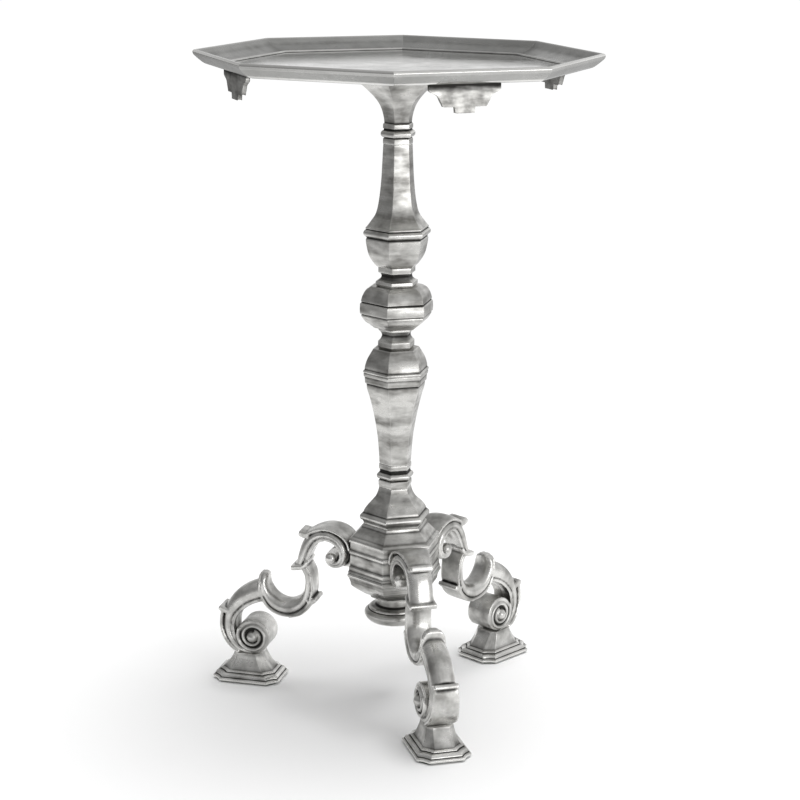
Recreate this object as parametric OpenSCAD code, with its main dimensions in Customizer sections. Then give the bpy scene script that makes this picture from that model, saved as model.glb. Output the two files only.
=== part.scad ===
// Lift-off tray table: an eight-sided dished tray on four bracket feet, carried by a six-sided
// moulded column of stacked hollow castings on a tie rod, over a hub with three double-scroll legs.
// The origin is on the column's axis at the floor, +Z is up and the tray's corners lie on X and Y.

/* [Tray] */
// Overall height of the table, to the top of the tray's rim
table_h = 750; // [740:1:760]
// Radius from the axis to a corner of the tray's rim
tray_corner_r = 227; // [220:1:240]
// Radius from the axis to a corner of the tray's flat floor
floor_corner_r = 189; // [180:1:192]
// Depth from the rim down to the floor
dish_depth = 14.5; // [12:0.5:18]
// Thickness of the tray's floor
floor_t = 2.5; // [2:0.5:3]
// Height of a bracket foot under the tray
bracket_h = 29; // [20:1:34]
// Thickness of a bracket foot
bracket_t = 5; // [3:0.5:8]

/* [Tray seat] */
// Thickness of the felt ring between the column and the tray
felt_t = 1.8; // [1:0.1:3]
// Radius of the round recess in the top of the column
recess_r = 30; // [26:1:34]
// Depth of that recess
recess_depth = 12; // [8:1:14]
// Gap all round between the tray's locating boss and the recess
boss_gap = 0.5; // [0.3:0.1:1]

/* [Column] */
// Radius of the cored hole through the column's castings
core_r = 9; // [7:0.5:10]
// Radius of the tie rod
rod_r = 4; // [3:0.5:5]
// Height of the register ring on top of each casting
register_h = 4; // [3:0.5:6]

/* [Hub and legs] */
// Number of legs
leg_count = 3; // [3]
// Direction of the first leg, in degrees from +X
leg_turn = -73; // [-90:1:-60]
// Distance from the axis to the flat that a leg is bolted to
leg_seat_r = 46.5; // [45:0.5:47]
// Width of a leg where its upper scroll meets the hub
leg_hub_w = 44; // [42:1:46]
// Width of a leg's upper and middle scrolls, away from the hub
leg_w = 29; // [28:1:31]
// Width of a leg's lower scroll
leg_low_w = 34; // [32:1:38]
// Width of the drum in a leg's lower volute
drum_w = 44; // [41:1:46]
// Depth of the channel sunk in a leg's side faces
channel_depth = 1.8; // [1:0.2:2.4]

/* [Feet] */
// Distance from the axis to the centre of a foot
foot_r = 177; // [174:1:180]
// Length of a foot along its leg
foot_l = 82; // [78:1:90]
// Width of a foot across its leg
foot_w = 63; // [58:1:70]
// Height of a foot's neck, where the leg stands on it
neck_z = 33; // [32:0.5:35]
// Thickness of the felt pad under a foot
pad_t = 1.5; // [1:0.5:3]

/* [Hidden] */
$fn = 64;
silver = "silver";
steel = "lightsteelblue";
felt = "darkolivegreen";

floor_z = table_h - dish_depth;
under_z = floor_z - floor_t;
column_top_z = under_z - 2;                 // the felt ring fills the 2 mm under the tray
capital_z = 649;                            // lower ends of the column's castings, top to bottom
upper_baluster_z = 511;
upper_collar_z = 489;
knop_z = 441;
lower_collar_z = 417;
lower_baluster_z = 281;
ring_collar_z = 253;
bell_z = 210;
cover_z = 189;
hub_z = 119;
finial_z = 88;
hub_floor_z = 131;                          // floor of the hub's hollow
hub_hollow_r = 36;                          // from the axis to the hollow's flats
nut_pocket_z = 706;                         // floor of the pocket for the rod's nut
nut_pocket_r = 12;
bracket_apothem = 188;                      // outer face of a bracket foot
bolt_r = 3;
bolt_z = [160, 174];
foot_head_z = 12;                           // where the head of a foot screw bears
edge = 0.1;                                 // how far a cut runs past the face it opens

// ---- outlines ----

// Points along an arc from angle a0 to angle a1
function arc(x, y, r, a0, a1, n = 6) =
    [for (i = [0:n]) let (a = a0 + (a1 - a0) * i / n) [x + r * cos(a), y + r * sin(a)]];

// A point between b and c on the smooth curve through a, b, c and d
function between(a, b, c, d, t) =
    0.5 * (2 * b + (c - a) * t + (2 * a - 5 * b + 4 * c - d) * t * t + (3 * b - a - 3 * c + d) * t * t * t);

// The smooth curve through a list of points, with n steps from each to the next
function smooth(p, n = 3) = let (m = len(p) - 1) concat(
    [for (i = [0:m - 1], k = [0:n - 1]) between(p[max(i - 1, 0)], p[i], p[i + 1], p[min(i + 2, m)], k / n)],
    [p[m]]);

function reversed(p) = [for (i = [len(p) - 1:-1:0]) p[i]];
function part_of(p, first, last) = [for (i = [first:last]) p[i]];

// Unit direction of a path of [x, y, half width] stations at station i
function heading(s, i) =
    let (a = s[max(i - 1, 0)], b = s[min(i + 1, len(s) - 1)], d = [b.x - a.x, b.y - a.y]) d / norm(d);

// One edge of the band along a path: side is 1 or -1, and inset narrows the band
function band_edge(s, side, inset) =
    [for (i = [0:len(s) - 1]) let (d = heading(s, i))
        [s[i].x, s[i].y] + side * (s[i].z - inset) * [-d.y, d.x]];

module band(stations, inset = 0) {
    s = smooth(stations);
    polygon(concat(band_edge(s, 1, inset), reversed(band_edge(s, -1, inset))));
}

// ---- building blocks ----

// A six-sided moulded solid: the outline runs from top to bottom as [corner radius, z]
module six_sided(outline)
    rotate([0, 0, leg_turn + 30])
        rotate_extrude($fn = 6)
            polygon(concat([[0, outline[0].y]], outline, [[0, outline[len(outline) - 1].y]]));

// A casting of the column: cored through, and with a register ring on top that enters the next one
module casting(outline, hollow = []) {
    top = outline[0].y;
    bottom = outline[len(outline) - 1].y;
    difference() {
        six_sided(outline);
        translate([0, 0, bottom - edge]) cylinder(r = core_r, h = top - bottom + 2 * edge);
        if (len(hollow) > 0) rotate_extrude() polygon(hollow);
    }
    difference() {
        translate([0, 0, top - register_h]) cylinder(r = core_r, h = 2 * register_h);
        translate([0, 0, top - register_h - edge]) cylinder(r = rod_r + 1, h = 2 * register_h + 2 * edge);
    }
}

// The cored hollow inside a swelling: [radius, z] at its lower end, waist and upper end
function hollow_of(r, low, high, slope) =
    [[0, low], [core_r, low], [r, low + slope], [r, high - slope], [core_r, high], [0, high]];

module at_legs() for (i = [0:leg_count - 1]) at_leg(i) children();
module at_leg(i) rotate([0, 0, leg_turn + i * 360 / leg_count]) children();

// A profile in the leg's plane, as wide as w across the leg
module across_leg(w) rotate([90, 0, 0]) linear_extrude(w, center = true) children();

// ---- tray ----

module tray() color(silver)
    rotate_extrude($fn = 8) polygon(concat(
        [[0, floor_z], [floor_corner_r, floor_z], [floor_corner_r + 0.6, floor_z + 1.5]],
        [[floor_corner_r + 2.4, floor_z + 2.1], [floor_corner_r + 4, floor_z + 1.4]],
        smooth([[floor_corner_r + 5, floor_z + 1.5], [floor_corner_r + 14, floor_z + 3],
                [floor_corner_r + 25, floor_z + 7], [tray_corner_r - 6.5, table_h - 2.2]]),
        arc(tray_corner_r - 3, table_h - 3, 3, 120, 0, 4),
        smooth([[tray_corner_r - 1, table_h - 5.5], [tray_corner_r - 6, table_h - 10],
                [tray_corner_r - 14, under_z + 1.5], [tray_corner_r - 23, under_z]]),
        [[0, under_z]]));

bracket_foot = 10;                          // half width of the bracket's small bottom block
bracket_step = 23.5;                        // half width at the step above it
bracket_top = 39;                           // half width under the tray
bracket_half = concat(
    [[bracket_foot, under_z - bracket_h], [bracket_foot + 0.8, under_z - bracket_h + 6.4]],
    smooth([[bracket_step, under_z - 22.4], [bracket_step + 3, under_z - 17],
            [bracket_step + 6.5, under_z - 11], [bracket_top - 2, under_z - 7.5]]),
    [[bracket_top, under_z - 6], [bracket_top, under_z]]);

module bracket(i) color(silver)
    rotate([0, 0, 22.5 + 90 * i]) translate([bracket_apothem, 0, 0]) rotate([90, 0, -90])
        linear_extrude(bracket_t)
            polygon(concat(bracket_half, [for (p = reversed(bracket_half)) [-p.x, p.y]]));

// Round boss soldered under the tray, which drops into the recess in the capital
module tray_boss() color(silver) difference() {
    translate([0, 0, column_top_z - recess_depth + 1])
        cylinder(r = recess_r - boss_gap, h = under_z - column_top_z + recess_depth - 1);
    translate([0, 0, column_top_z - recess_depth + 1 - edge])
        cylinder(r = recess_r - 7, h = recess_depth - 3);
}

module felt_seat() color(felt) difference() {
    translate([0, 0, under_z - 1 - felt_t / 2]) cylinder(r = 44, h = felt_t);
    translate([0, 0, under_z - 3]) cylinder(r = recess_r + 1, h = 4);
}

// ---- column ----

module capital() color(silver) difference() {
    six_sided(concat(
        [[66, column_top_z], [66, column_top_z - 2]],
        smooth([[62, column_top_z - 5], [47, 718], [36.5, 709.5], [26, 699], [20, 689.5], [16.8, 679],
                [16, 672]], 2),
        [[17.5, 671], [17.5, 666.4], [16.2, 665.6]],
        arc(16.2, 660.2, 4, 80, -80, 5),
        [[16, 655.6], [17.4, 655], [17.4, capital_z]]));
    translate([0, 0, capital_z - edge]) cylinder(r = core_r, h = 51);
    translate([0, 0, capital_z]) cylinder(r = rod_r + 0.5, h = 60);
    translate([0, 0, nut_pocket_z]) cylinder(r = nut_pocket_r, h = 30);
    translate([0, 0, column_top_z - recess_depth]) cylinder(r = recess_r, h = recess_depth + edge);
}

module upper_baluster() color(silver) casting(concat(
    [[17, capital_z]],
    smooth([[17.2, 646], [18.2, 625], [19.2, 608], [21.5, 587], [25, 572], [31, 563], [35.4, 557.4]], 2),
    arc(35.5, 555.6, 1.5, 80, -50, 3),
    arc(35.5, 550, 4, 70, -70, 5),
    [[35.4, 544.6]],
    smooth([[36.6, 542.5], [35.8, 536], [32.6, 524], [26.8, 515.2], [22.6, upper_baluster_z]], 2)),
    hollow_of(22, 522, 573, 14));

module upper_collar() color(silver) casting(concat(
    [[21.8, upper_baluster_z], [21.8, 504.6]],
    smooth([[19.4, 503.8], [18, 501], [19.3, 497.6], [22.6, 495.4]], 2),
    [[24.6, 494.8], [24.8, 491.2], [23.6, upper_collar_z]]));

module centre_knop() color(silver) casting(concat(
    smooth([[30, upper_collar_z], [36, 485], [40, 478], [42, 471]], 2),
    [[42.9, 469.6], [43.1, 463], [42.3, 457.6], [41, 456.8]],
    smooth([[39.6, 454.6], [36, 449.4], [31, 445.4], [26, knop_z]], 2)),
    hollow_of(29, 449, 482, 9));

module lower_collar() color(silver) casting(concat(
    [[21, knop_z], [21, 438], [19.3, 437]],
    smooth([[18, 435.4], [17, 432.4], [18.4, 429], [20.6, 426.6]], 2),
    [[21.6, 425.6], [21.6, 419.4], [20.4, lower_collar_z]]));

module lower_baluster() color(silver) casting(concat(
    smooth([[27, lower_collar_z], [30.4, 411.6], [34.2, 405], [36.6, 398], [37.4, 393.6]], 2),
    arc(37, 391, 2, 80, -60, 4),
    [[38.4, 388.2], [38, 385.2], [37, 384.6], [36.6, 377.6], [34.8, 376.6], [34.4, 372]],
    smooth([[33.4, 368], [31, 360.6], [27.4, 346.6], [23.6, 328], [20.8, 308],
            [18.9, lower_baluster_z]], 2)),
    hollow_of(21, 368, 408, 11));

module ring_collar() color(silver) casting(concat(
    [[19.6, lower_baluster_z], [19.6, 275.4], [18.4, 274.6], [18.4, 271.4]],
    arc(18.4, 267, 3.8, 80, -80, 5),
    [[18.4, 262.4], [20, 261.4], [20, 256.6], [19.2, ring_collar_z]]));

module bell_foot() color(silver) casting(concat(
    smooth([[19.4, ring_collar_z], [21, 247], [25, 240], [32, 233.4], [36.4, 228], [38, 223.8]], 2),
    arc(38.2, 219, 4, 75, -75, 5),
    [[38.2, 213.6], [37.4, 212], [37.4, bell_z]]),
    hollow_of(24, 206, 232, 8));

module hub_cover() color(silver) casting(
    [[38.6, bell_z], [39.4, 206.6], [50.6, 195.2], [53.4, 194], [54.6, 191.6], [54.6, cover_z]],
    [[0, 180], [32, 180], [32, cover_z + 4], [core_r, 203], [0, 203]]);

module hub() color(silver) difference() {
    six_sided(concat(
        [[53.2, cover_z], [53.2, 179.4], [54.4, 178.2], [54.4, 175.4], [53.4, 174.4], [53.4, 160.4]],
        [[54.8, 158.8], [54.8, 154.6], [56.4, 152.4]],
        arc(53.4, 148.6, 3.4, 60, -60, 4),
        [[54.6, 144.6], [53, 140.6]],
        smooth([[52.4, 136.6], [46, 131.4], [37.4, 126]], 2),
        [[36, 124.8], [29, 122.4], [28, hub_z]]));
    // the hollow, open at the top so that the leg bolts can be reached
    rotate([0, 0, leg_turn + 30]) translate([0, 0, hub_floor_z])
        cylinder(r = hub_hollow_r / cos(30), h = cover_z - hub_floor_z + edge, $fn = 6);
    translate([0, 0, hub_z - edge]) cylinder(r = rod_r + 0.5, h = 20);
    at_legs() {
        translate([leg_seat_r, -12, 153]) cube([20, 24, 28]);
        for (z = bolt_z) translate([hub_hollow_r - 2, 0, z]) rotate([0, 90, 0])
            cylinder(r = bolt_r + 0.3, h = 14);
    }
}

// Round knob that screws on to the lower end of the tie rod and draws the column together
module finial() color(silver) difference() {
    rotate_extrude() polygon(concat(
        [[0, hub_z], [22, hub_z], [21, 114], [20.4, 109]],
        [[26, 107.4]],
        arc(27.4, 105.6, 2, 90, -30, 4),
        smooth([[31, 104], [34.2, 101.4], [34, 97], [29.4, 91.4], [20, finial_z]], 4),
        [[0, finial_z]]));
    translate([0, 0, 97]) cylinder(r = rod_r, h = hub_z - 97 + edge);
}

module tie_rod() color(steel) translate([0, 0, 97]) cylinder(r = rod_r, h = 718 - 97);

module top_washer() color(steel) translate([0, 0, nut_pocket_z]) difference() {
    cylinder(r = 10, h = 2);
    translate([0, 0, -edge]) cylinder(r = rod_r, h = 3);
}

module top_nut() color(steel) translate([0, 0, nut_pocket_z + 2]) difference() {
    cylinder(r = 7.5, h = 6.5, $fn = 6);
    translate([0, 0, -edge]) cylinder(r = rod_r, h = 7);
}

// ---- legs: bands along [distance from the axis, z, half width] stations ----

upper_scroll = [[77.6, 165, 2.6], [76.4, 158.4, 3.2], [69.6, 154.4, 4.2], [61, 157, 5], [56, 165, 5.4],
                [57, 175, 6], [62.6, 184, 6.2], [71.6, 189.4, 6.3], [81, 190.4, 6.5], [90, 188, 7],
                [97.4, 181.6, 7.2], [102.4, 172.6, 7], [106.6, 163, 6.6], [110.4, 154, 6.2],
                [113, 148, 6.2]];
middle_scroll = [[107, 147, 5], [102.3, 138, 5.2], [101.2, 127, 5.6], [102.5, 115, 6.6], [108.5, 103.4, 8.2],
                 [119, 95.8, 9.3], [130, 93.8, 9.6], [141.5, 97, 9.4], [150.5, 104.5, 8.2], [156, 115, 6.2],
                 [157.6, 126, 5], [157.2, 136.5, 4.6]];
lower_scroll = [[158, 112.5, 10.8], [170, 107.5, 10.4], [181, 101, 9.8], [191, 91.5, 9.2], [198.5, 80, 8.8],
                [201.4, 67, 8.6], [199, 54.6, 8], [192, 44, 7], [182.4, 37.8, 6], [172, 35.6, 5.2],
                [161.6, 38.6, 4.8], [154.8, 46.8, 4.5]];
volute_coil = [[172, 35.6, 5.2], [161.6, 38.6, 4.8], [154.8, 46.8, 4.5], [153.8, 57, 4.1],
               [158.6, 66.6, 3.8], [168, 71.6, 3.6], [177.6, 69.8, 3.3], [184, 62, 3], [184, 53, 2.8],
               [178.4, 46.8, 2.6], [171, 45.8, 2.4]];
drum_at = [170.5, 54];
drum_r = 19;
upper_boss = [73, 162.4];
lower_boss = [172.6, 57];
border_w = 3.4;                             // width of the raised border beside a channel

// A scroll with a channel sunk in both side faces, between raised borders
module scroll(stations, w, first, last) difference() {
    across_leg(w) band(stations);
    for (side = [-1, 1]) translate([0, side * w / 2, 0])
        across_leg(2 * channel_depth) band(part_of(stations, first, last), border_w);
}

// Half widths of the upper scroll in plan, from the hub outwards
flare = [[46, leg_hub_w / 2], [62, leg_hub_w / 2 - 0.4], [76, leg_hub_w / 2 - 2.2], [88, leg_w / 2 + 2.5],
         [100, leg_w / 2 + 0.3], [130, leg_w / 2]];

// The plan of the upper scroll, or of the cutter for its channel, which is set in from it
module flared(inset = 0) {
    side = smooth([for (p = flare) [p.x, p.y - inset]]);
    translate([0, 0, 140]) linear_extrude(70)
        polygon(concat(side, [for (p = reversed(side)) [p.x, -p.y]]));
}

// The upper scroll widens towards the hub, and its side channels follow
module upper_scroll_band() difference() {
    intersection() {
        across_leg(leg_hub_w + 2) band(upper_scroll);
        flared();
    }
    difference() {
        across_leg(leg_hub_w + 4) band(part_of(upper_scroll, 4, 13), border_w);
        flared(channel_depth);
    }
}

// The rounded cover over the shoulder of the upper scroll
module shoulder() intersection() {
    across_leg(leg_hub_w + 6)
        band([[57.6, 178, 5.2], [63.6, 185.6, 5.6], [72, 191.4, 5.4], [81.6, 193.2, 5.4], [91.6, 191, 5.2],
              [100.4, 185.6, 5]]);
    flared(-1);
}

// A domed boss on both side faces of a volute
module bosses(at, r, w, rise) for (side = [-1, 1])
    translate([at.x, side * (w / 2 - r + rise), at.y]) sphere(r);

module leg(i) color(silver) at_leg(i) difference() {
    union() {
        upper_scroll_band();
        scroll(middle_scroll, leg_w + 1, 1, 8);
        scroll(lower_scroll, leg_low_w, 1, 8);
        shoulder();
        across_leg(drum_w) band(volute_coil);
        across_leg(drum_w - 2 * channel_depth) translate(drum_at) circle(r = drum_r);
        across_leg(leg_hub_w - 8) translate(upper_boss) circle(r = 7);
        bosses(upper_boss, 7, leg_hub_w - 8, 7);
        bosses(lower_boss, 7.6, drum_w - 2 * channel_depth, 7);
        // pad that enters the hub's seat
        translate([leg_seat_r, -12, 153]) cube([11, 24, 28]);
        // ledges across the outer faces
        across_leg(leg_w + 4) band([[101, 186, 3.2], [107, 187, 3.6], [112, 188, 3]]);
        across_leg(leg_w + 6) band([[106.6, 148.4, 2.4], [114, 147.4, 3], [120.6, 146.4, 2.6]]);
        across_leg(leg_w + 3) band([[99, 105.4, 3.4], [94.6, 107.4, 3], [91.6, 108.8, 2.2]]);
        across_leg(leg_low_w + 2) band([[203, 84, 4], [209.4, 86, 3], [211.8, 86.8, 2.2]]);
    }
    // flat on which the foot stands, and the tapped holes
    translate([foot_r - 40, -40, neck_z - 20]) cube([80, 80, 20]);
    translate([foot_r, 0, neck_z - edge]) cylinder(r = bolt_r, h = 18);
    for (z = bolt_z) translate([leg_seat_r - edge, 0, z]) rotate([0, 90, 0]) cylinder(r = bolt_r, h = 11.6);
}

module leg_bolts() color(steel) at_legs() for (z = bolt_z) translate([0, 0, z]) rotate([0, 90, 0]) {
    translate([0, 0, hub_hollow_r - 5]) cylinder(r = 5, h = 5);
    translate([0, 0, hub_hollow_r]) cylinder(r = bolt_r, h = leg_seat_r + 10 - hub_hollow_r);
}

// ---- feet ----

// Half outline of a foot, from the floor up: b is the half size of its base and n that of its neck
function foot_half(b, n) = concat(
    [[b - 1, pad_t], [b, pad_t + 1], [b, 5.4], [b - 1, 6.2]],
    smooth([[b - 3, 6.8], [b - 4.6, 8], [b - 5.2, 9.6]], 2),
    [[b - 6.6, 10.4], [b - 7.6, 12.2], [b - 9.6, 12.8]],
    smooth([[b - 10.4, 13.4], [n + (b - n - 10) * 0.44, 19], [n + 1.4, 26], [n, neck_z]], 2));

// Half size of a foot's base across its cut corners
corner_half = (foot_l + foot_w) * 0.295;

module foot_slab(half, w) rotate([90, 0, 0]) linear_extrude(w, center = true)
    polygon(concat(half, [for (p = reversed(half)) [-p.x, p.y]]));

// The corners are cut at 45 degrees, by the same moulding on the diagonals
module foot(i) color(silver) at_leg(i) translate([foot_r, 0, 0]) difference() {
    intersection() {
        foot_slab(foot_half(foot_l / 2, 17), 2 * foot_l);
        rotate([0, 0, 90]) foot_slab(foot_half(foot_w / 2, 16), 2 * foot_l);
        rotate([0, 0, 45]) foot_slab(foot_half(corner_half, 19.8), 2 * foot_l);
        rotate([0, 0, -45]) foot_slab(foot_half(corner_half, 19.8), 2 * foot_l);
    }
    translate([0, 0, -edge]) cylinder(r = 7, h = foot_head_z + edge);
    cylinder(r = bolt_r + 0.3, h = neck_z + edge);
}

module foot_screws() color(steel) at_legs() translate([foot_r, 0, 0]) {
    translate([0, 0, foot_head_z - 5]) cylinder(r = 5.5, h = 5);
    translate([0, 0, foot_head_z]) cylinder(r = bolt_r, h = neck_z + 15 - foot_head_z);
}

module foot_pads() color(felt) at_legs() translate([foot_r, 0, 0]) linear_extrude(pad_t)
    intersection() {
        square([foot_l - 8, foot_w - 8], center = true);
        rotate(45) square(2 * corner_half - 8, center = true);
    }

tray();
bracket(0);  // tray_bracket_1
bracket(1);  // tray_bracket_2
bracket(2);  // tray_bracket_3
bracket(3);  // tray_bracket_4
tray_boss();
felt_seat();
capital();
upper_baluster();
upper_collar();
centre_knop();
lower_collar();
lower_baluster();
ring_collar();
bell_foot();
hub_cover();
hub();
finial();
tie_rod();
top_washer();
top_nut();
leg(0);  // leg_1
leg(1);  // leg_2
leg(2);  // leg_3
leg_bolts();
foot(0);  // foot_1
foot(1);  // foot_2
foot(2);  // foot_3
foot_screws();
foot_pads();
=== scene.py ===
# %% [markdown]
# # A lift-off tray table in antique silver
# The table is an eight-sided dished tray on a six-sided column of stacked castings, over a hub with three
# scroll legs. Everything rides on the packed model: that frame gives the bodies, the joints and the box
# that the finished pieces have to stay inside, so it is loaded before anything is made.

from math import cos, pi, radians, sin

import bmesh
import bpy
import numpy as np
from mathutils import Matrix, Vector


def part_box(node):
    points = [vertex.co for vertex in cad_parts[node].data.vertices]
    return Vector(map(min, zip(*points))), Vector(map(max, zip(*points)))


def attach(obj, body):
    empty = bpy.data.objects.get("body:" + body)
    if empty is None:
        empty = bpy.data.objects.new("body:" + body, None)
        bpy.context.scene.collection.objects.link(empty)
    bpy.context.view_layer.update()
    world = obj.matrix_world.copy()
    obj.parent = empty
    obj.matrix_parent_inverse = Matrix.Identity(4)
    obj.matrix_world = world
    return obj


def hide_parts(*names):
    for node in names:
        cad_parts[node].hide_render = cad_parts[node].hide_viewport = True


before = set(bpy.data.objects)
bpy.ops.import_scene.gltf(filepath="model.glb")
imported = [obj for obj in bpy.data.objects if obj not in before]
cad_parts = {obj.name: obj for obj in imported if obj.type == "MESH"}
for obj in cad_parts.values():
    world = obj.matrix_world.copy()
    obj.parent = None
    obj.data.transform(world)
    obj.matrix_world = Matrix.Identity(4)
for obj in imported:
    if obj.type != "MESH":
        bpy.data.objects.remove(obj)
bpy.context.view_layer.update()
MM = 0.001                                   # the table's sizes are in mm, and this makes them metres
TABLE_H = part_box("tray")[1][2] / MM
LEG_COUNT = 3
FIRST_LEG = radians(-73)                     # where the first leg points, about the column's axis
LEG_ANGLES = [FIRST_LEG + index * 2 * pi / LEG_COUNT for index in range(LEG_COUNT)]

# %% [markdown]
# ## The view
# A long lens a little above the tray looks gently down, so the tray is a thin eight-sided disc and the
# legs are seen slightly from above. The camera is placed by its own axes rather than by angles, because
# that lets the small tilt of the horizon be one clear number.

# %% Camera
CAMERA_AT = Vector((0.0478, -2.3222, 0.9537))
HEADING, DOWN, TILT = radians(91.06), radians(14.45), radians(0.52)
LENS_MM, SENSOR_MM = 94.4, 36.0

forward = Vector((cos(HEADING) * cos(DOWN), sin(HEADING) * cos(DOWN), -sin(DOWN)))
level_right = forward.cross(Vector((0, 0, 1))).normalized()
level_up = level_right.cross(forward)
camera_right = level_right * cos(TILT) + level_up * sin(TILT)
camera_up = camera_right.cross(forward)
turn = Matrix((camera_right, camera_up, -forward)).transposed()

camera = bpy.data.objects.new("camera", bpy.data.cameras.new("camera"))
camera.data.lens, camera.data.sensor_width = LENS_MM, SENSOR_MM
camera.matrix_world = Matrix.Translation(CAMERA_AT) @ turn.to_4x4()
bpy.context.scene.collection.objects.link(camera)
bpy.context.scene.camera = camera
print("camera", [round(v, 3) for v in CAMERA_AT])

# %% [markdown]
# ## Node graphs written as sums
# Both the finishes and the geometry are node graphs. Placing and wiring dozens of Math nodes by hand hides
# what a graph computes, so a small class wraps a socket and turns + - * / into Math nodes, and one method
# makes every other kind of node.

# %% A graph and its links
class Link:
    """One output socket of a graph. Arithmetic on it adds Math nodes."""

    def __init__(self, graph, socket):
        self.graph, self.socket = graph, socket

    def math(self, operation, *values):
        return self.graph.node("ShaderNodeMath", {"operation": operation}, dict(enumerate(values)))

    def __add__(self, other): return self.math("ADD", self, other)
    def __radd__(self, other): return self.math("ADD", other, self)
    def __sub__(self, other): return self.math("SUBTRACT", self, other)
    def __rsub__(self, other): return self.math("SUBTRACT", other, self)
    def __mul__(self, other): return self.math("MULTIPLY", self, other)
    def __rmul__(self, other): return self.math("MULTIPLY", other, self)
    def __truediv__(self, other): return self.math("DIVIDE", self, other)
    def __rtruediv__(self, other): return self.math("DIVIDE", other, self)

    def axis(self, k): return self.graph.node("ShaderNodeSeparateXYZ", {}, {0: self}, k)
    def limited(self): return self.graph.node("ShaderNodeClamp", {}, {0: self})
    def floor(self): return self.math("FLOOR", self)
    def cos(self): return self.math("COSINE", self)
    def sin(self): return self.math("SINE", self)


class Graph:
    """A node tree that is being filled."""

    def __init__(self, tree):
        self.tree = tree

    def node(self, kind, settings=None, inputs=None, output=0):
        """Adds a node: its settings come first, then its sockets' values or links."""
        made = self.tree.nodes.new(kind)
        for key, value in (settings or {}).items():
            setattr(made, key, value)
        for key, value in (inputs or {}).items():
            if isinstance(value, Link):
                self.tree.links.new(value.socket, made.inputs[key])
            else:
                made.inputs[key].default_value = value
        return Link(self, made.outputs[output]) if made.outputs else None


print("reflected operators:", [name for name in vars(Link) if name.startswith("__r")])

# %% [markdown]
# ## Outlines
# A moulding is drawn the way a pattern maker draws it: fillets and beads are short straight runs and arcs,
# and the long sweeps between them are smooth curves through a few measured points. Real castings have no
# knife edges, so every corner is then eased by a fraction of a millimetre, which is what catches the light.

# %% Curves, arcs and eased corners
def arc(x, y, r, start, end, steps=8):
    """Points along an arc, in degrees."""
    angles = np.radians(np.linspace(start, end, steps + 1))
    return [[x + r * cos(a), y + r * sin(a)] for a in angles]


def smooth(points, steps=6):
    """The smooth curve through a few points, with any number of values at each."""
    p = np.array(points, float)
    p = np.vstack([p[:1], p, p[-1:]])
    t = np.linspace(0, 1, steps, endpoint=False)[:, None]
    runs = [0.5 * (2 * b + (c - a) * t + (2 * a - 5 * b + 4 * c - d) * t ** 2
                   + (3 * b - a - 3 * c + d) * t ** 3)
            for a, b, c, d in zip(p, p[1:], p[2:], p[3:])]
    return np.vstack(runs + [p[-1:]]).tolist()


SHARP = radians(14)                          # a corner turns by more than this
EASE_SHARE = 0.42                            # the most of a side that the easing of one corner takes


def eased(outline, radius, steps=3):
    """Rounds each sharp corner of an outline. Only the first two values of a point are its place."""
    p = np.array(outline, float)
    out = [p[0]]
    for a, b, c in zip(p, p[1:], p[2:]):
        before, after = a - b, c - b
        reach_a, reach_c = np.linalg.norm(before[:2]), np.linalg.norm(after[:2])
        bend = -np.dot(before[:2], after[:2]) / max(reach_a * reach_c, 1e-9)
        if bend > cos(SHARP):
            out.append(b)
            continue
        cut = min(radius, EASE_SHARE * reach_a, EASE_SHARE * reach_c)
        start, end = b + before / reach_a * cut, b + after / reach_c * cut
        for t in np.linspace(0, 1, steps + 1):
            out.append((1 - t) ** 2 * start + 2 * t * (1 - t) * b + t ** 2 * end)
    out.append(p[-1])
    return np.array(out)


def spaced(outline, longest):
    """Adds points so that no step of an outline is longer than longest."""
    out = [outline[0]]
    for a, b in zip(outline, outline[1:]):
        count = max(1, int(np.ceil(np.linalg.norm((b - a)[:2]) / longest)))
        out.extend(a + (b - a) * (i + 1) / count for i in range(count))
    return np.array(out)


print("a quarter bead:", len(arc(0, 0, 1, 90, 0)), "points")

# %% [markdown]
# ## How sunk each point is
# Antique silver is dipped dark and then wiped, so the dark stays in the grooves and leaves the edges
# bright. Instead of painting that, it is measured: a point that lies inside the average of its neighbours
# is in a groove, one outside it is on an edge. The same rule works along an outline and over a mesh.

# %% Measure grooves and edges
GROOVE_REACH = 2.4                           # how far along an outline its surroundings reach
SAMPLES = 12                                 # places in that reach at which they are averaged


def sunk_along(outline, reach=GROOVE_REACH):
    """How far each point of an outline lies inside its surroundings, in the outline's own unit."""
    steps = np.linalg.norm(np.diff(outline[:, :2], axis=0), axis=1)
    place = np.concatenate([[0], np.cumsum(steps)])
    fine = np.arange(0, place[-1], reach / SAMPLES)
    x, y = (np.interp(fine, place, outline[:, k]) for k in (0, 1))
    window = np.exp(-0.5 * np.linspace(-2, 2, 4 * SAMPLES + 1) ** 2)
    window /= window.sum()
    pad = len(window) // 2
    mean = [np.convolve(np.pad(v, pad, "edge"), window, "valid") for v in (x, y)]
    across = [-np.gradient(y), np.gradient(x)]
    size = np.hypot(*across) + 1e-12
    inside = ((mean[0] - x) * across[0] + (mean[1] - y) * across[1]) / size
    return np.interp(place, fine, inside)


def neighbour_mean(mesh):
    """A function that averages values on a mesh's points over each point's neighbours."""
    count = len(mesh.vertices)
    ends = np.empty(len(mesh.edges) * 2, int)
    mesh.edges.foreach_get("vertices", ends)
    a, b = ends[::2], ends[1::2]
    degree = np.bincount(ends, minlength=count)[:, None]
    return lambda v: np.stack([np.bincount(a, v[b, k], count) + np.bincount(b, v[a, k], count)
                               for k in range(v.shape[1])], 1) / degree


def places(mesh):
    flat = np.empty(len(mesh.vertices) * 3)
    mesh.vertices.foreach_get("co", flat)
    return flat.reshape(-1, 3)


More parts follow.
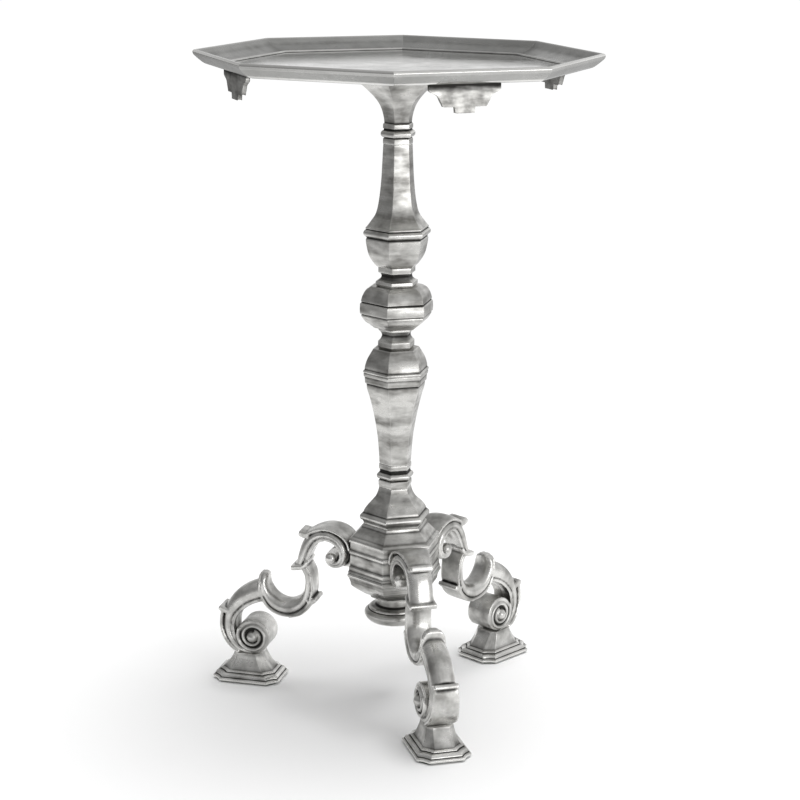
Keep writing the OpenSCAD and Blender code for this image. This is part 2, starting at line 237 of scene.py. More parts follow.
def sunk_over(mesh, rounds):
    """The same over a mesh of even density, in metres."""
    mean_of, place = neighbour_mean(mesh), places(mesh)
    facing = np.empty(len(mesh.vertices) * 3)
    mesh.vertex_normals.foreach_get("vector", facing)
    mean = place
    for _ in range(rounds):
        mean = 0.3 * mean + 0.7 * mean_of(mean)
    return ((mean - place) * facing.reshape(-1, 3)).sum(1)


def store(mesh, name, values):
    attribute = mesh.attributes.get(name) or mesh.attributes.new(name, "FLOAT", "POINT")
    attribute.data.foreach_set("value", np.asarray(values, np.float32))


notch = np.array([[20, 10], [20, 5.5], [19, 5], [20, 4.5], [20, 0]])
print("the foot of a notch 1 mm deep is sunk by", round(sunk_along(notch)[2], 2), "mm")

# %% [markdown]
# ## Turnings with flat sides
# The tray, the column and the hub are all one kind of shape: an outline turned about the axis, but with
# six or eight flat sides. A lathe cannot make it and a plain Spin in Blender cannot round its arrises, so
# a Geometry Nodes tree does it. It reads the outline from the points of the object, lays out a grid with
# one row for each point, and bends each row into a polygon whose corners are small arcs. A point marked
# round makes its row a true circle, which gives the bores and recesses.

# %% The tree that turns an outline with flat sides
MOST_BEND = 0.3                              # a corner's arc is never more than this share of the radius
SAME_PLACE = 2e-6                            # metres


def build_flat_sided_tree():
    tree = bpy.data.node_groups.new("flat sided turning", "GeometryNodeTree")
    face = tree.interface
    face.new_socket("Geometry", in_out="OUTPUT", socket_type="NodeSocketGeometry")
    face.new_socket("Outline", in_out="INPUT", socket_type="NodeSocketGeometry")
    for name, kind in (("Sides", "Int"), ("Corner Radius", "Float"), ("Corner Steps", "Int"),
                       ("Turn", "Float"), ("Finish", "Material")):
        face.new_socket(name, in_out="INPUT", socket_type="NodeSocket" + kind)
    g = Graph(tree)
    source = tree.nodes.new("NodeGroupInput")
    outline, sides, radius, steps, turned, finish = (Link(g, source.outputs[i]) for i in range(6))

    rows = g.node("GeometryNodeAttributeDomainSize", {}, {0: outline}, 0)
    columns = sides * (steps + 1)
    grid = g.node("GeometryNodeMeshGrid", {}, {0: 1.0, 1: 1.0, 2: rows, 3: columns + 1})
    index = g.node("GeometryNodeInputIndex")
    row = ((index + 0.5) / (columns + 1)).floor()
    column = index - row * (columns + 1)
    column = column.math("MODULO", column, columns)
    side = ((column + 0.5) / (steps + 1)).floor()
    step = column - side * (steps + 1)

    def from_outline(data_type, value):
        return g.node("GeometryNodeSampleIndex", {"data_type": data_type}, {0: outline, 1: value, 2: row})

    def named(name):
        return g.node("GeometryNodeInputNamedAttribute", {"data_type": "FLOAT"}, {0: name})

    point = from_outline("FLOAT_VECTOR", g.node("GeometryNodeInputPosition"))
    r, z = point.axis(0), point.axis(2)
    is_round = from_outline("FLOAT", named("round"))
    half = pi / sides
    corner = side * 2 * half + turned
    way = step / steps * 2 - 1               # -1 to 1 across the corner's arc
    swing = way * half
    bend = r.math("MINIMUM", radius, r * MOST_BEND)
    out_to_bend = (r - bend / half.cos()) * (1 - is_round)
    bend = bend * (1 - is_round) + r * is_round
    x = out_to_bend * corner.cos() + bend * (corner + swing).cos()
    y = out_to_bend * corner.sin() + bend * (corner + swing).sin()
    place = g.node("ShaderNodeCombineXYZ", {}, {0: x, 1: y, 2: z})
    shape = g.node("GeometryNodeSetPosition", {}, {0: grid, 2: place})

    on_arris = (1 - way.math("ABSOLUTE", way)) * (1 - is_round)
    for name, value in (("sunk", from_outline("FLOAT", named("sunk"))), ("arris", on_arris)):
        shape = g.node("GeometryNodeStoreNamedAttribute", {"data_type": "FLOAT", "domain": "POINT"},
                       {0: shape, 2: name, 3: value})
    shape = g.node("GeometryNodeMergeByDistance", {}, {0: shape, 2: SAME_PLACE})
    shape = g.node("GeometryNodeRealizeInstances", {}, {0: shape})
    shape = g.node("GeometryNodeSetMaterial", {}, {0: shape, 2: finish})
    g.node("NodeGroupOutput", {}, {0: shape})
    return tree


flat_sided = build_flat_sided_tree()
print("tree:", flat_sided.name, len(flat_sided.nodes), "nodes")


# %% [markdown]
# ## From outline to finished piece
# Every piece ends the same way: its modifiers become a plain mesh, its faces point outwards, it is given
# to a body, the packed node it stands for is hidden, and how well it fills that node's box is printed.
# Most pieces are rows of points with faces between them, so one helper numbers those faces.

# %% Finish a piece
def plain_mesh(host):
    """The host with its modifiers made into a plain mesh, and every face pointing outwards."""
    bpy.context.view_layer.update()
    evaluated = host.evaluated_get(bpy.context.evaluated_depsgraph_get())
    made = bpy.data.meshes.new_from_object(evaluated)
    host.modifiers.clear()
    host.data = made
    point_outwards(made)
    return host


def point_outwards(mesh):
    shell = bmesh.new()
    shell.from_mesh(mesh)
    bmesh.ops.recalc_face_normals(shell, faces=shell.faces)
    shell.to_mesh(mesh)
    shell.free()


def new_object(name, points, edges, faces):
    mesh = bpy.data.meshes.new(name)
    mesh.from_pydata([tuple(p) for p in points], edges, faces)
    made = bpy.data.objects.new(name, mesh)
    bpy.context.scene.collection.objects.link(made)
    return made


def skin(rows, around, joined=False):
    """The faces between rows of points, with a flat one at each end unless the last row joins the first."""
    faces = [(r * around + k, r * around + (k + 1) % around,
              (r + 1) % rows * around + (k + 1) % around, (r + 1) % rows * around + k)
             for r in range(rows if joined else rows - 1) for k in range(around)]
    if not joined:
        faces += [tuple(range(around)), tuple(range(rows * around - 1, (rows - 1) * around - 1, -1))]
    return faces


def hand_over(piece, body, node):
    """Gives a finished piece to its body and its node, and prints how well it fills the node's box."""
    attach(piece, body)
    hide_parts(node)
    low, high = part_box(node)
    corners = np.array([v.co for v in piece.data.vertices])
    miss = max(np.abs(corners.min(0) - low).max(), np.abs(corners.max(0) - high).max()) / MM
    print(f"{piece.name}: {len(piece.data.polygons)} faces, box within {miss:.2f} mm of the packed node")
    return piece


print("packed nodes to stand for:", len(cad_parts))

# %% Turn an outline
def set_inputs(modifier, values):
    """Sets a tree's named inputs through their sockets' identifiers."""
    for item in modifier.node_group.interface.items_tree:
        if item.item_type == "SOCKET" and item.in_out == "INPUT" and item.name in values:
            modifier[item.identifier] = values[item.name]


COLUMN_TURN = FIRST_LEG + pi / 6             # puts a flat side of the column behind each leg


def turned_piece(name, outline, finish, sides=6, corner=1.1, steps=4, turn=COLUMN_TURN, ease=0.45,
                 bore=(), all_round=False, longest=2.4):
    """Turns [radius, z] points, from top to bottom, into a solid. bore is the inner outline of a round
    recess, from the axis out to its rim."""
    inner = [[*p, 1] for p in bore] or [[0, outline[0][1], 0]]
    whole = inner + [[*p, float(all_round)] for p in outline] + [[0, outline[-1][1], 0]]
    path = spaced(eased(whole, ease), longest)
    links = [(i, i + 1) for i in range(len(path) - 1)]
    host = new_object(name, [(r * MM, 0, z * MM) for r, z, _ in path], links, [])
    store(host.data, "sunk", sunk_along(path))
    store(host.data, "round", path[:, 2])
    modifier = host.modifiers.new("turning", "NODES")
    modifier.node_group = flat_sided
    set_inputs(modifier, {"Sides": sides, "Corner Radius": corner * MM, "Corner Steps": steps,
                          "Turn": turn, "Finish": finish})
    piece = plain_mesh(host)
    piece.data.shade_smooth()
    return piece


print("the column's first corner points to", round(np.degrees(COLUMN_TURN)), "degrees")

# %% [markdown]
# ## The silver
# The finish on the real table is silver over a brass casting, dipped dark and wiped by hand. So it has
# three layers: bright metal, a thin uneven tarnish whose smudges run round the piece the way the cloth
# went, and black sulphide that stays in the grooves. All three come from one function, and the tray, the
# castings and the legs differ in how far each has been wiped and polished. The legs and feet also have a
# lighter metal than the castings, which is painted light, and on the brackets the black is painted shade.

# %% Helpers for finishes
def new_look(name):
    material = bpy.data.materials.new(name)
    material.use_nodes = True
    material.node_tree.nodes.clear()
    return material, Graph(material.node_tree)


def own_place(g):
    return g.node("ShaderNodeTexCoord", {}, {}, 3)


def attribute_of(g, name):
    return g.node("ShaderNodeAttribute", {"attribute_name": name}, {}, 2)


def noise(g, place, stretch, detail=4.0, rough=0.55):
    """Noise on the piece's own coordinates: stretch is how many features fit in a metre, on every axis or
    on each of the three."""
    each = stretch if isinstance(stretch, tuple) else (stretch,) * 3
    scaled = g.node("ShaderNodeVectorMath", {"operation": "MULTIPLY"}, {0: place, 1: each})
    return g.node("ShaderNodeTexNoise", {}, {"Vector": scaled, "Scale": 1.0, "Detail": detail,
                                             "Roughness": rough})


def ramp(g, value, low, high):
    """0 at low and 1 at high, straight between and flat beyond."""
    return g.node("ShaderNodeMapRange", {"clamp": True}, {0: value, 1: low, 2: high, 3: 0.0, 4: 1.0})


def mixed(g, factor, a, b):
    """Mixes two colours."""
    return g.node("ShaderNodeMix", {"data_type": "RGBA"}, {0: factor, 6: a, 7: b}, 2)


def bump(g, height, strength, distance):
    return g.node("ShaderNodeBump", {}, {"Strength": strength, "Distance": distance, "Height": height})


def surface(g, sockets):
    g.node("ShaderNodeOutputMaterial", {}, {0: g.node("ShaderNodeBsdfPrincipled", {}, sockets)})


print("58 features in a metre lie", round(1 / 58 / MM), "mm apart")

# %% Antique silver
SULPHIDE_AND_SHADE, WIPED = (0.020, 0.019, 0.017, 1), (0.80, 0.795, 0.775, 1)
MOTTLE, GRAIN, SCRATCH = 58.0, 900.0, (140.0, 140.0, 1500.0)     # features in a metre
POLISHED = 0.13                                                  # roughness where the tray is polished
TRAY_FLOOR = 735.5


def silver(name, metal, tarnish, roughness, smudge, depth, waviness, streak, polished_below=None):
    """smudge is how strong the tarnish is, depth is how far in a groove lies before it is black, waviness is
    how uneven the casting is, streak is how many marks of the cloth fit in a metre, and polished_below is
    the height under which the metal is polished."""
    material, g = new_look(name)
    place = own_place(g)
    sunk, arris, polish = attribute_of(g, "sunk"), attribute_of(g, "arris"), 0.0
    if polished_below:
        polish = 1 - ramp(g, place.axis(2), polished_below * MM, (polished_below + 1) * MM)
        arris = arris * (1 - polish)
    uneven = (noise(g, place, MOTTLE, 3.0) - 0.5) * 0.5
    scratch = noise(g, place, SCRATCH, 2.0, 0.7)

    # Dirt fills what is sunk, whatever stands out is worn bright, and tarnish lies thin on the rest.
    # On the tray's brackets the same black is painted shade under the tray, not dirt.
    dirt_and_shade = ramp(g, sunk + uneven * depth, 0.08 * depth, depth)
    worn = (ramp(g, sunk * -1, 0.45 * depth, 2.0 * depth) * 0.75 + arris * 0.3).limited()
    thin = (ramp(g, noise(g, place, streak) + uneven, 0.36, 0.70) * smudge * (1 - worn)).limited()
    worn = (worn + polish * 0.75).limited()

    colour = mixed(g, worn, (*metal, 1), WIPED)
    colour = mixed(g, thin, colour, (*tarnish, 1))
    colour = mixed(g, dirt_and_shade, colour, SULPHIDE_AND_SHADE)
    rough = roughness + polish * (POLISHED - roughness) + thin * 0.16 + dirt_and_shade * 0.30
    rough = rough - worn * 0.06 + (scratch - 0.5) * 0.10
    relief = noise(g, place, MOTTLE, 1.5) * waviness + noise(g, place, GRAIN, 3.0) * 0.008 + scratch * 0.008
    surface(g, {"Base Color": colour, "Metallic": 1 - dirt_and_shade * 0.35, "Roughness": rough.limited(),
                "Normal": bump(g, relief, 0.35, 1.2 * MM)})
    return material


cast_silver = silver("antique silver casting", metal=(0.60, 0.595, 0.575), tarnish=(0.20, 0.195, 0.184),
                     roughness=0.27, smudge=0.90, depth=0.50, waviness=0.5, streak=(26.0, 26.0, 95.0))
# Painted light: the legs and feet have a lighter metal than the castings, standing in for light on them
leg_silver_painted_light = silver("antique silver leg", metal=(0.70, 0.695, 0.675), tarnish=(0.19, 0.186, 0.174),
                    roughness=0.26, smudge=0.80, depth=0.30, waviness=0.6, streak=34.0)
tray_silver = silver("satin tray silver", metal=(0.38, 0.38, 0.37), tarnish=(0.26, 0.26, 0.25),
                     roughness=0.27, smudge=0.55, depth=0.36, waviness=0.08, streak=(9.0, 9.0, 40.0),
                     polished_below=TRAY_FLOOR + 0.4)
print("silver finishes:", cast_silver.name, leg_silver_painted_light.name, tray_silver.name)

# %% [markdown]
# ## Felt and plain steel
# The felt ring and foot pads are pressed wool: matt, with short fibres lying every way, so a fine noise
# drives both the colour and a bump. The rod, nut and screws are turned steel, with fine rings round them.

# %% Felt and steel
def felt_finish():
    material, g = new_look("green felt")
    place = own_place(g)
    fibre = noise(g, place, 2400.0, 8.0, 0.75)
    patch = noise(g, place, 120.0)
    colour = mixed(g, ramp(g, fibre * 0.7 + patch * 0.3, 0.3, 0.7),
                   (0.020, 0.034, 0.024, 1), (0.075, 0.105, 0.078, 1))
    surface(g, {"Base Color": colour, "Roughness": 0.95, "Normal": bump(g, fibre, 0.9, 0.6 * MM),
                "Sheen Weight": 0.35})
    return material


def steel_finish():
    material, g = new_look("turned steel")
    place = own_place(g)
    rings = noise(g, place, (60.0, 60.0, 2600.0), 2.0)
    colour = mixed(g, ramp(g, noise(g, place, 160.0), 0.35, 0.7),
                   (0.50, 0.51, 0.53, 1), (0.33, 0.33, 0.34, 1))
    surface(g, {"Base Color": colour, "Metallic": 1.0, "Roughness": 0.28 + rings * 0.2,
                "Normal": bump(g, rings, 0.4, 0.2 * MM)})
    return material


green_felt = felt_finish()
turned_steel = steel_finish()
STEEL_NODES = ("tie_rod", "top_washer", "top_nut", "leg_bolts", "foot_screws")
for node in STEEL_NODES:
    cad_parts[node].data.materials.clear()
    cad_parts[node].data.materials.append(turned_steel)
print("steel nodes kept as packed:", len(STEEL_NODES))

# %% [markdown]
# ## The column
# Nine castings are threaded on a tie rod. Each is drawn as its own outline, from the top down, so a joint
# between two castings falls where a founder would put it: at a fillet, where a hairline does not show.
# The capital also has the round recess that the tray's boss drops into, with the rod's nut at its bottom.

# %% Column
CAPITAL_TOP = 731.0
RECESS = [[4.2, 706], [12, 706], [12, 719], [30, 719], [30, CAPITAL_TOP]]
RINGS = {
    "capital": [[66, CAPITAL_TOP], [66, 729]]
    + smooth([[62, 726], [47, 718], [36.5, 709.5], [26, 699], [20, 689.5], [16.8, 679], [16, 672]])
    + [[17.5, 671], [17.5, 666.4], [16.2, 665.6]] + arc(16.2, 660.2, 4, 80, -80)
    + [[16, 655.6], [17.4, 655], [17.4, 649]],
    "upper_baluster": [[17, 649]]
    + smooth([[17.2, 646], [18.2, 625], [19.2, 608], [21.5, 587], [25, 572], [31, 563], [35.4, 557.4]])
    + arc(35.5, 555.6, 1.5, 80, -50, 4) + arc(35.5, 550, 4, 70, -70) + [[35.4, 544.6]]
    + smooth([[36.6, 542.5], [35.8, 536], [32.6, 524], [26.8, 515.2], [22.6, 511]]),
    "upper_collar": [[21.8, 511], [21.8, 504.6]]
    + smooth([[19.4, 503.8], [18, 501], [19.3, 497.6], [22.6, 495.4]])
    + [[24.6, 494.8], [24.8, 491.2], [23.6, 489]],
    "centre_knop": smooth([[30, 489], [36, 485.4], [40, 479], [41.9, 472.6]])
    + [[41.2, 472], [41.2, 470.8], [42.9, 470], [43.2, 463.6], [42.9, 458.4], [41.2, 457.6], [41.2, 456.4]]
    + smooth([[41.4, 455.4], [36.8, 449.2], [31, 445], [26, 441]]),
    "lower_collar": [[21, 441], [21, 438], [19.3, 437]]
    + smooth([[18, 435.4], [17, 432.4], [18.4, 429], [20.6, 426.6]])
    + [[21.6, 425.6], [21.6, 419.4], [20.4, 417]],
    "lower_baluster": smooth([[27, 417], [30.4, 411.6], [34.2, 405], [36.6, 398], [37.2, 393.6]])
    + arc(37, 391, 2, 80, -60, 6)
    + [[38.4, 388.2], [38, 385.2], [37, 384.6], [36.6, 377.6], [34.8, 376.6], [34.4, 372]]
    + smooth([[33.4, 368], [31, 360.6], [27.4, 346.6], [23.6, 328], [20.8, 308], [18.9, 281]]),
    "ring_collar": [[19.6, 281], [19.6, 275.4], [18.4, 274.6], [18.4, 271.4]] + arc(18.4, 267, 3.8, 80, -80)
    + [[18.4, 262.4], [20, 261.4], [20, 256.6], [19.2, 253]],
    "bell_foot": smooth([[19.4, 253], [21, 247], [25, 240], [32, 233.4], [36.4, 228], [38, 223.8]])
    + arc(38.2, 219, 4, 75, -75) + [[38.2, 213.6], [37.4, 212], [37.4, 210]],
    "hub_cover": [[38.6, 210], [39.4, 206.6], [50.6, 195.2], [53.4, 194], [54.6, 191.6], [54.6, 189]],
}
for node, rings in RINGS.items():
    casting = turned_piece(node + "_casting", rings, cast_silver, bore=RECESS if node == "capital" else ())
    hand_over(casting, "pedestal", node)

# %% [markdown]
# ## Hub and finial
# The hub is the one casting with mouldings on wide flats, and the legs are bolted to three of those. Below
# it the round finial is the nut that draws the whole column together, so it is turned truly round.

# %% Hub and finial
HUB = ([[53.2, 189], [53.2, 179.4], [54.4, 178.2], [54.4, 175.4], [53.4, 174.4], [53.4, 160.4], [54.8, 158.8],
        [54.8, 154.6], [56.4, 152.4]] + arc(53.4, 148.6, 3.4, 60, -60) + [[54.6, 144.6], [53, 140.6]]
       + smooth([[52.4, 136.6], [46, 131.4], [37.4, 126]]) + [[36, 124.8], [29, 122.4], [28, 119]])
FINIAL = ([[22, 119], [21, 114], [20.4, 109], [26, 107.4]] + arc(27.4, 105.6, 2, 90, -30)
          + smooth([[31, 104], [34.2, 101.4], [34, 97], [29.4, 91.4], [20, 88]]))
hand_over(turned_piece("hub_casting", HUB, cast_silver, corner=1.4), "pedestal", "hub")
hand_over(turned_piece("finial_knob", FINIAL, cast_silver, steps=12, all_round=True), "pedestal", "finial")

# %% [markdown]
# ## The tray
# The tray is the same kind of turning with eight sides. Its rim is a hollow curve outside and an ogee
# inside, and a bead and a dark groove divide it from the flat polished floor. The boss under it is turned
# round, and drops into the capital's recess.

# %% Tray and its boss
FLOOR_R, RIM_R, UNDER_TRAY = 189.0, 227.0, 733.0
TRAY_RIM = ([[FLOOR_R - 0.6, TRAY_FLOOR], [FLOOR_R, TRAY_FLOOR - 0.7], [FLOOR_R + 0.8, TRAY_FLOOR - 0.4]]
            + arc(FLOOR_R + 2.6, TRAY_FLOOR + 0.7, 1.4, 170, 10) + [[FLOOR_R + 4.6, TRAY_FLOOR + 0.6]]
            + smooth([[FLOOR_R + 5.4, TRAY_FLOOR + 1.2], [FLOOR_R + 14, TRAY_FLOOR + 3],
                      [FLOOR_R + 25, TRAY_FLOOR + 7], [RIM_R - 6.5, TABLE_H - 2.2]])
            + arc(RIM_R - 3, TABLE_H - 3, 3, 120, 0)
            + smooth([[RIM_R - 1, TABLE_H - 5.5], [RIM_R - 6, TABLE_H - 10], [RIM_R - 14, UNDER_TRAY + 1.5],
                      [RIM_R - 23, UNDER_TRAY]]))
tray = turned_piece("tray_dish", TRAY_RIM, tray_silver, sides=8, corner=1.2, turn=0.0, ease=0.4, longest=6.0)
hand_over(tray, "tray", "tray")

BOSS_R, BOSS_BORE, BOSS_LOW = 29.5, 23, CAPITAL_TOP - 11
BOSS = [[BOSS_R, UNDER_TRAY], [BOSS_R, BOSS_LOW], [BOSS_BORE, BOSS_LOW], [BOSS_BORE, BOSS_LOW + 8.9]]
boss = turned_piece("locating_boss", BOSS, tray_silver, steps=12, all_round=True)
hand_over(boss, "tray", "tray_boss")

# %% [markdown]
# ## The felt ring
# Between the capital and the tray lies a ring of felt, which the tray turns on. It is round, thin and soft
# at its edges, so it needs no more than a rectangle with its corners cut, carried round the axis.

# %% Felt ring
def felt_ring():
    inner, outer, low, high, cut, turns = 31.0, 44.0, UNDER_TRAY - 1.9, UNDER_TRAY - 0.1, 0.4, 96
    section = [[inner, low + cut], [inner + cut, low], [outer - cut, low], [outer, low + cut],
               [outer, high - cut], [outer - cut, high], [inner + cut, high], [inner, high - cut]]
    points = [(r * cos(2 * pi * t / turns) * MM, r * sin(2 * pi * t / turns) * MM, z * MM)
              for t in range(turns) for r, z in section]
    ring = new_object("felt_ring", points, [], skin(turns, len(section), joined=True))
    point_outwards(ring.data)
    ring.data.materials.append(green_felt)
    ring.data.shade_smooth()
    return ring


hand_over(felt_ring(), "seat", "felt_seat")

# %% [markdown]
# ## Bracket feet of the tray
# The tray has its own four feet, so that it can be lifted off and set down. Each is a flat cast bracket
# with a stepped, scrolled outline. The outline is drawn once as a half, mirrored, given its thickness,
# and its edges are eased with a Bevel. A flat bracket has no grooves, so its darkening is set by height
# instead: it is painted shade, darkest at the top in the corner under the tray and a little over the rest.

# %% Bracket feet
BRACKET_OUT, BRACKET_T, BRACKET_H, BRACKETS = 188.0, 5.0, 29.0, 4
# Painted shade under the tray: how far down from the tray it reaches, in mm, and its least and most
SHADE_H, LEAST_SHADE, MOST_SHADE = 4.0, 0.154, 0.7
BRACKET_HALF = ([[10, -BRACKET_H], [10.8, -22.6]]
                + smooth([[23.5, -22.4], [26.5, -17], [30, -11], [37, -7.5]], 5) + [[39, -6], [39, 0]])


def bevel_edges(piece, width, segments, least_angle):
    """Eases the edges where a piece turns by more than an angle, in degrees, and makes it a plain mesh."""
    bevel = piece.modifiers.new("eased edges", "BEVEL")
    bevel.width, bevel.segments = width * MM, segments
    bevel.limit_method, bevel.angle_limit = "ANGLE", radians(least_angle)
    plain_mesh(piece)


def bracket_foot(index):
    half = [(t, UNDER_TRAY + h) for t, h in BRACKET_HALF]
    outline = half + [(-t, z) for t, z in reversed(half)]
    facing = radians(22.5 + 360 / BRACKETS * index)
    out, across = np.array((cos(facing), sin(facing), 0)), np.array((-sin(facing), cos(facing), 0))
    points = [(out * d + across * t + np.array((0, 0, z))) * MM
              for d in (BRACKET_OUT, BRACKET_OUT - BRACKET_T) for t, z in outline]
    bracket = new_object(f"bracket_foot_{index + 1}", points, [], skin(2, len(outline)))
    bevel_edges(bracket, 0.7, 3, 40)
    z = np.array([v.co.z for v in bracket.data.vertices]) / MM
    # Painted shade: darkest at the top, in the corner under the tray, and a little over the whole bracket
    painted_shade = ((z - UNDER_TRAY) / SHADE_H + 1) * MOST_SHADE
    store(bracket.data, "sunk", np.clip(painted_shade, LEAST_SHADE, MOST_SHADE))
    bracket.data.materials.append(cast_silver)
    bracket.data.shade_smooth()
    bracket.data.set_sharp_from_angle(angle=radians(32))
    return bracket


for index in range(BRACKETS):
    hand_over(bracket_foot(index), "tray", f"tray_bracket_{index + 1}")

# %% [markdown]
# ## Scroll legs: the section and the path
# A leg is three C-scrolls that run into each other. Each scroll is one moulded section carried along a
# path: a full rounded field, a groove, and one or two beads along the hollow side of the curve. The path's
# stations give the place in the leg's plane, the half width there and the half thickness, so a scroll can
# taper and flare.

# %% Sections of the scrolls
# Each point of a half section is (share of half width, offset, share of half thickness, offset), from the
# middle of the outer face round to the middle of the inner face.
ROUNDED = [(cos(a), 0, sin(a) ** 0.8, 0) for a in np.radians((0, 14, 28, 42, 56, 70, 84))]
BEADED = (ROUNDED + [(0, 0, 1, 0), (-1, 6.4, 1, -0.2), (-1, 5.7, 1, -1.0), (-1, 5.1, 1, -2.4),
                     (-1, 4.5, 1, -2.4), (-1, 4.0, 1, -1.2), (-1, 3.5, 1, -0.5), (-1, 3.0, 1, -0.6),
                     (-1, 2.5, 1, -1.5), (-1, 2.1, 1, -1.9), (-1, 1.7, 1, -1.4), (-1, 1.2, 1, -0.8),
                     (-1, 0.5, 1, -1.0), (-1, 0, 1, -2.0), (-1, 0, 0.5, 0), (-1, 0.4, 0, 0)])
RIMMED = ([(1, 0.2, 0, 0), (1, 0.1, 0.5, 0), (1, 0, 1, -1.8), (1, -0.5, 1, -0.7), (1, -1.4, 1, -0.3),
           (1, -2.4, 1, -0.5), (1, -3.0, 1, -1.3), (1, -3.6, 1, -2.5), (1, -4.3, 1, -2.6), (1, -5.0, 1, -1.4),
           (1, -5.8, 1, -0.6), (1, -7.2, 1, 0)] + [(-w, 0, t, 0) for w, _, t, _ in reversed(ROUNDED)])
COVER = [(1, 2.0, 0, 0), (1, 1.8, 0.3, 0), (1, 1.2, 0.56, 0), (1, 0.1, 0.78, 0), (1, -1.4, 0.92, 0),
         (1, -2.8, 0.985, 0), (1, -3.9, 1, -0.2), (1, -4.8, 1, -1.2), (0, -2, 1, -3.0), (0, -2, 0, 0)]
FLAT_COVER = [(1, 0.7, 0, 0), (1, 0.6, 0.5, 0), (1, 0.2, 1, -4.6), (1, -0.4, 1, -2.0), (1, -1.6, 1, -0.5),
              (1, -3.0, 1, -0.1), (1, -4.4, 1, -0.3), (1, -5.0, 1, -1.3), (0, -2, 1, -3.0), (0, -2, 0, 0)]
SOFT_BAR = ([(1, 0, 0, 0)] + [(cos(a), 0, 1, (sin(a) - 1) * 2.4) for a in np.linspace(0, pi, 9)]
            + [(-1, 0, 0, 0)])
print("beaded section:", 2 * len(BEADED) - 2, "points round")

# %% [markdown]
# ## Scroll legs: the sweep
# A plain curve bevel gives every place the same section, only larger or smaller. Here the width and the
# thickness change on their own while the beads keep their size, so the rows are worked out with arrays.

# %% Sweep a section along a scroll
SLENDER = 8.0                                # a scroll of less half width has smaller mouldings, in step
LEAST_HALF = 0.3
END_ROUND = 1.6
END_STEPS = np.array((0.5, 0.85, 1.0))


def sweep(stations, half_section, steps=7):
    """A closed shell, in the leg's own plane: rows of points and the faces between them."""
    path = np.array(smooth(stations, steps))
    along = np.gradient(path[:, :2], axis=0)
    along /= np.linalg.norm(along, axis=1)[:, None]
    past = []
    for row, way in ((0, -1), (-1, 1)):
        rows = np.array([path[row]] * len(END_STEPS))
        rows[:, :2] += along[row] * way * END_STEPS[:, None] * END_ROUND
        past.append(rows)
    rounding = END_ROUND * (1 - (1 - END_STEPS ** 2) ** 0.5)
    inset = np.concatenate([rounding[::-1], np.zeros(len(path)), rounding])[:, None]
    path = np.vstack([past[0][::-1], path, past[1]])
    along = np.vstack([[along[0]] * len(END_STEPS), along, [along[-1]] * len(END_STEPS)])
    outward = np.stack([-along[:, 1], along[:, 0]], 1)

    near = np.array(half_section, float)
    far = near[-2:0:-1] * (1, 1, -1, -1)
    wide, wide_off, thick, thick_off = np.vstack([near, far]).T
    scale = np.minimum(1, path[:, 2:3] / SLENDER)
    a = np.maximum(path[:, 2:3] - inset, LEAST_HALF) * wide + scale * wide_off
    b = (path[:, 3:4] - inset) * thick + scale * thick_off
    points = np.stack([path[:, :1] + outward[:, :1] * a, b, path[:, 1:2] + outward[:, 1:] * a], 2)
    return points.reshape(-1, 3), skin(*a.shape)


print("a straight bar:", len(sweep([[0, 0, 5, 9], [30, 0, 5, 9]], SOFT_BAR)[0]), "points")

# %% [markdown]
# ## Scroll legs: drums, pearls and the volute's spiral
# A volute is closed by a drum, and a boss like a pearl stands in its eye. Both are turned about an axis
# across the leg, so one helper turns a short outline about that axis. The spiral on the drum's face is a
# rounded cord whose radius shrinks and whose height grows as it winds in, like a snail's shell.

# %% Shells turned across the leg
def turned_across(at, outline, turns=48):
    """Turns [radius, distance across the leg] points about a line across the leg through at."""
    points = [(at[0] + r * cos(2 * pi * t / turns), y, at[1] + r * sin(2 * pi * t / turns))
              for r, y in outline for t in range(turns)]
    return points, skin(len(outline), turns)


def drum(at, radius, half, crown=0.0):
    """A drum across the leg, whose ends rise by crown towards the middle."""
    end = [[radius, half - 1.2], [radius - 0.4, half - 0.4], [radius - 1.3, half],
           [radius * 0.5, half + crown * 0.8], [0.3, half + crown]]
    return turned_across(at, [[r, -y] for r, y in reversed(end)] + end)


def pearls(at, radius, centre):
    """A ball on each side of the leg, whose centre is that far from the leg's middle."""
    ball = [[max(radius * sin(a), 0.2), -radius * cos(a)] for a in np.linspace(0.02, pi - 0.02, 17)]
    return [turned_across(at, [[r, side * centre + y] for r, y in ball], 32) for side in (-1, 1)]


def block(low, high):
    """A plain rectangular shell between two corners."""
    points = [(x, y, z) for x in (low[0], high[0]) for y in (low[1], high[1]) for z in (low[2], high[2])]
    return points, [(0, 1, 3, 2), (4, 6, 7, 5), (0, 4, 5, 1), (2, 3, 7, 6), (0, 2, 6, 4), (1, 5, 7, 3)]


def cord(centres, radii, around=10):
    """A round cord through points in space."""
    p = np.array(centres, float)
    along = np.gradient(p, axis=0)
    along /= np.linalg.norm(along, axis=1)[:, None]
    across = np.cross(along, (0, 1, 0))
    across /= np.linalg.norm(across, axis=1)[:, None]
    up = np.cross(across, along)
    angles = 2 * pi * np.arange(around) / around
    points = [c + r * (cos(t) * s + sin(t) * u) for c, r, s, u in zip(p, radii, across, up) for t in angles]
    return points, skin(len(p), around)


SPIRAL_EASE = 0.95
DEGREES_A_STEP = 8


def spiral(at, side, start, sweep_angle, radius, height, thickness):
    """A cord that winds in about at: each pair gives a value at the outer and the inner end."""
    share = np.linspace(0, 1, int(sweep_angle / DEGREES_A_STEP))
    angle = np.radians(start - sweep_angle * share)
    r = radius[0] + (radius[1] - radius[0]) * share ** SPIRAL_EASE
    y = side * (height[0] + (height[1] - height[0]) * share)
    centres = np.stack([at[0] + r * np.cos(angle), y, at[1] + r * np.sin(angle)], 1)
    return cord(centres, thickness[0] + (thickness[1] - thickness[0]) * share)


